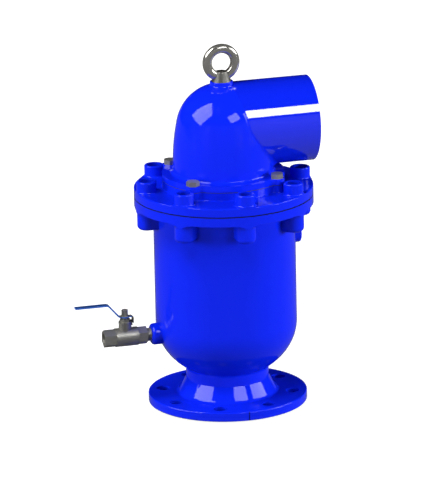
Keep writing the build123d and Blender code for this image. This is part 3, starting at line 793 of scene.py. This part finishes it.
@dataclass
class Studio:
    """The camera, the floor and the light, as they were for the photograph.

    Attributes:
        azimuth: Direction round Z from which the camera looks, in degrees from -Y.
        elevation: Its height above the horizon, in degrees.
        roll: Its turn about its own line of sight, in degrees.
        distance: Distance from the valve.
        lens_mm: Focal length.
        sensor_mm: Width of the sensor.
        clip: Nearest and farthest distance that the camera sees.
        shift_right: How far the camera stands to the right of the valve's axis.
        aim_height: Height that the camera and the lamps aim at.
        floor_reach: Half the floor's width.
        belt_top: Top of the grey belt in reflections, in degrees above the horizon.
        belt_front: A reflected direction whose Y is below this looks to the front, into the belt.
        backdrop_light: Brightness of the room that the camera sees.
        belt_light: Brightness of the belt and of the floor in reflections.
        dim_light: Brightness of everything else in reflections.
        ambient_light: Brightness with which the room lights the valve.
        paper_base: Grey of the floor as the camera sees it.
        paper_glow: Brightness that the floor has of itself there.
        paper_roughness: Roughness of the floor.
        paper_unseen: Grey with which the floor lights the valve.
        lamps: The soft lamps.
        cards: The panels that the paint and the steel mirror.
    """

    azimuth: float = -15.34
    elevation: float = 16.40
    roll: float = -1.21
    distance: float = 8.774
    lens_mm: float = 460.73
    sensor_mm: float = 36.0
    clip: tuple[float, float] = (0.1, 100.0)
    shift_right: float = -0.01012
    aim_height: float = 0.2194
    floor_reach: float = 14.0
    belt_top: float = 21.0
    belt_front: float = -0.2
    backdrop_light: float = 1.0
    belt_light: float = 0.17
    dim_light: float = 0.004
    ambient_light: float = 0.01
    paper_base: float = 0.3
    paper_glow: float = 0.86
    paper_roughness: float = 0.9
    paper_unseen: float = 0.04
    lamps: tuple[Softbox, ...] = (
        Softbox("front_key", -125.0, 58.0, 1.8),
        Softbox("left_key", -170.0, 58.0, 2.7),
        Softbox("left_fill", -180.0, 8.0, 3.3),
        Softbox("front_left_fill", -145.0, 8.0, 1.36),
        Softbox("front_right_fill", -65.0, 8.0, 1.15),
        Softbox("right_fill", -30.0, 8.0, 5.0),
        Softbox("rear_right_fill", 5.0, 8.0, 1.36),
        Softbox("rear_fill", 85.0, 8.0, 1.6),
    )
    cards: tuple[Card, ...] = (
        Card("left_panel",
             ((-4.0, 0.1, 11.6), (-6.4, -5.6, 8.8), (-11.1, -3.2, 3.4), (-10.2, 3.9, 5.2)), 8.5),
        Card("front_panel",
             ((0.3, -9.1, 8.2), (4.8, -6.5, 9.2), (6.5, -8.1, 6.4), (1.7, -10.7, 5.4)), 8.5),
        Card("right_panel",
             ((7.6, -5.8, 7.5), (10.3, 0.3, 6.4), (11.9, 0.3, 2.0), (9.3, -7.2, 2.6)), 8.0),
    )

    def build(self) -> None:
        """Set up the camera, the lamps, the panels, the world and the floor."""
        self._camera()
        for lamp in self.lamps:
            lamp.build(Vector((0.0, 0.0, self.aim_height)))
            log.info("hung %s", lamp.name)
        for card in self.cards:
            card.build()
            log.info("built %s", card.name)
        self._world()
        self._floor()

    def _camera(self) -> None:
        """Set up the camera at the place that was fitted to the photograph."""
        turn, rise, roll = (math.radians(angle) for angle in (self.azimuth, self.elevation, self.roll))
        back = Vector((math.sin(turn) * math.cos(rise), -math.cos(turn) * math.cos(rise), math.sin(rise)))
        level = Vector((math.cos(turn), math.sin(turn), 0.0))
        upright = back.cross(level)
        right = math.cos(roll) * level + math.sin(roll) * upright
        up = math.cos(roll) * upright - math.sin(roll) * level
        eye = Vector((0.0, 0.0, self.aim_height)) + self.shift_right * level + self.distance * back
        lens = bpy.data.cameras.new("camera")
        lens.lens = self.lens_mm
        lens.sensor_width = self.sensor_mm
        lens.clip_start, lens.clip_end = self.clip
        made = bpy.data.objects.new("camera", lens)
        bpy.context.scene.collection.objects.link(made)
        made.matrix_world = Matrix.Translation(eye) @ Matrix((right, up, back)).transposed().to_4x4()
        bpy.context.scene.camera = made

    def _world(self) -> None:
        """Light the room: white for the camera, dim in reflections with a grey belt in front."""
        world = bpy.data.worlds.new("studio")
        bpy.context.scene.world = world
        world.use_nodes = True
        tree = world.node_tree
        tree.nodes.clear()
        heading = tree.nodes.new("ShaderNodeSeparateXYZ")
        tree.links.new(tree.nodes.new("ShaderNodeTexCoord").outputs["Generated"], heading.inputs[0])
        low = self._below(tree, heading.outputs["Z"], math.sin(math.radians(self.belt_top)))
        in_front = self._below(tree, heading.outputs["Y"], self.belt_front)
        in_belt = tree.nodes.new("ShaderNodeMath")
        in_belt.operation = "MULTIPLY"
        tree.links.new(low, in_belt.inputs[0])
        tree.links.new(in_front, in_belt.inputs[1])
        mirrored = mixed(tree, in_belt.outputs[0], self._background(tree, self.dim_light),
                         self._background(tree, self.belt_light))
        light = split_by_ray(tree, self._background(tree, self.ambient_light), mirrored,
                             self._background(tree, self.backdrop_light))
        tree.links.new(light, tree.nodes.new("ShaderNodeOutputWorld").inputs["Surface"])

    @staticmethod
    def _below(tree: bpy.types.NodeTree, value: bpy.types.NodeSocket,
               limit: float) -> bpy.types.NodeSocket:
        """Add a test of a value against a limit.

        Args:
            tree: The world's node tree.
            value: The value to test.
            limit: The limit.

        Returns:
            1 where the value is below the limit, else 0.
        """
        node = tree.nodes.new("ShaderNodeMath")
        node.operation = "LESS_THAN"
        node.inputs[1].default_value = limit
        tree.links.new(value, node.inputs[0])
        return node.outputs[0]

    @staticmethod
    def _background(tree: bpy.types.NodeTree, strength: float) -> bpy.types.NodeSocket:
        """Add a plain background.

        Args:
            tree: The world's node tree.
            strength: Its brightness.

        Returns:
            Its shader.
        """
        node = tree.nodes.new("ShaderNodeBackground")
        node.inputs["Color"].default_value = grey(1.0)
        node.inputs["Strength"].default_value = strength
        return node.outputs[0]

    def _floor(self) -> None:
        """Lay the pale floor that the valve stands on."""
        mesh = bmesh.new()
        reach = self.floor_reach
        outline = ((-reach, -reach), (reach, -reach), (reach, reach), (-reach, reach))
        mesh.faces.new([mesh.verts.new((x, y, 0.0)) for x, y in outline])
        made = link_mesh("floor", mesh)
        made.data.materials.append(self._paper())

    def _paper(self) -> bpy.types.Material:
        """Build the floor's white paper.

        Returns:
            The new material.
        """
        paper = bpy.data.materials.new("white_paper")
        paper.use_nodes = True
        tree = paper.node_tree
        seen = tree.nodes["Principled BSDF"]
        seen.inputs["Base Color"].default_value = grey(self.paper_base)
        seen.inputs["Roughness"].default_value = self.paper_roughness
        seen.inputs["Specular IOR Level"].default_value = 0.0
        seen.inputs["Emission Color"].default_value = grey(1.0)
        seen.inputs["Emission Strength"].default_value = self.paper_glow
        unseen = tree.nodes.new("ShaderNodeBsdfDiffuse")
        unseen.inputs["Color"].default_value = grey(self.paper_unseen)
        mirrored = tree.nodes.new("ShaderNodeEmission")
        mirrored.inputs["Strength"].default_value = self.belt_light
        light = split_by_ray(tree, unseen.outputs[0], mirrored.outputs[0], seen.outputs[0])
        tree.links.new(light, tree.nodes["Material Output"].inputs["Surface"])
        return paper


def main() -> None:
    """Build the scene, sub-assembly by sub-assembly."""
    logging.basicConfig(level=logging.INFO, format="%(name)s: %(message)s")
    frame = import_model()
    bpy.context.scene.view_settings.view_transform = "Standard"
    dresser = Dresser(frame["nodes"])
    for assembly in (Castings(), Fasteners(), Seals(), Mechanism(), DrainValve()):
        assembly.dress(dresser)
    Studio().build()


if __name__ == "__main__":
    main()
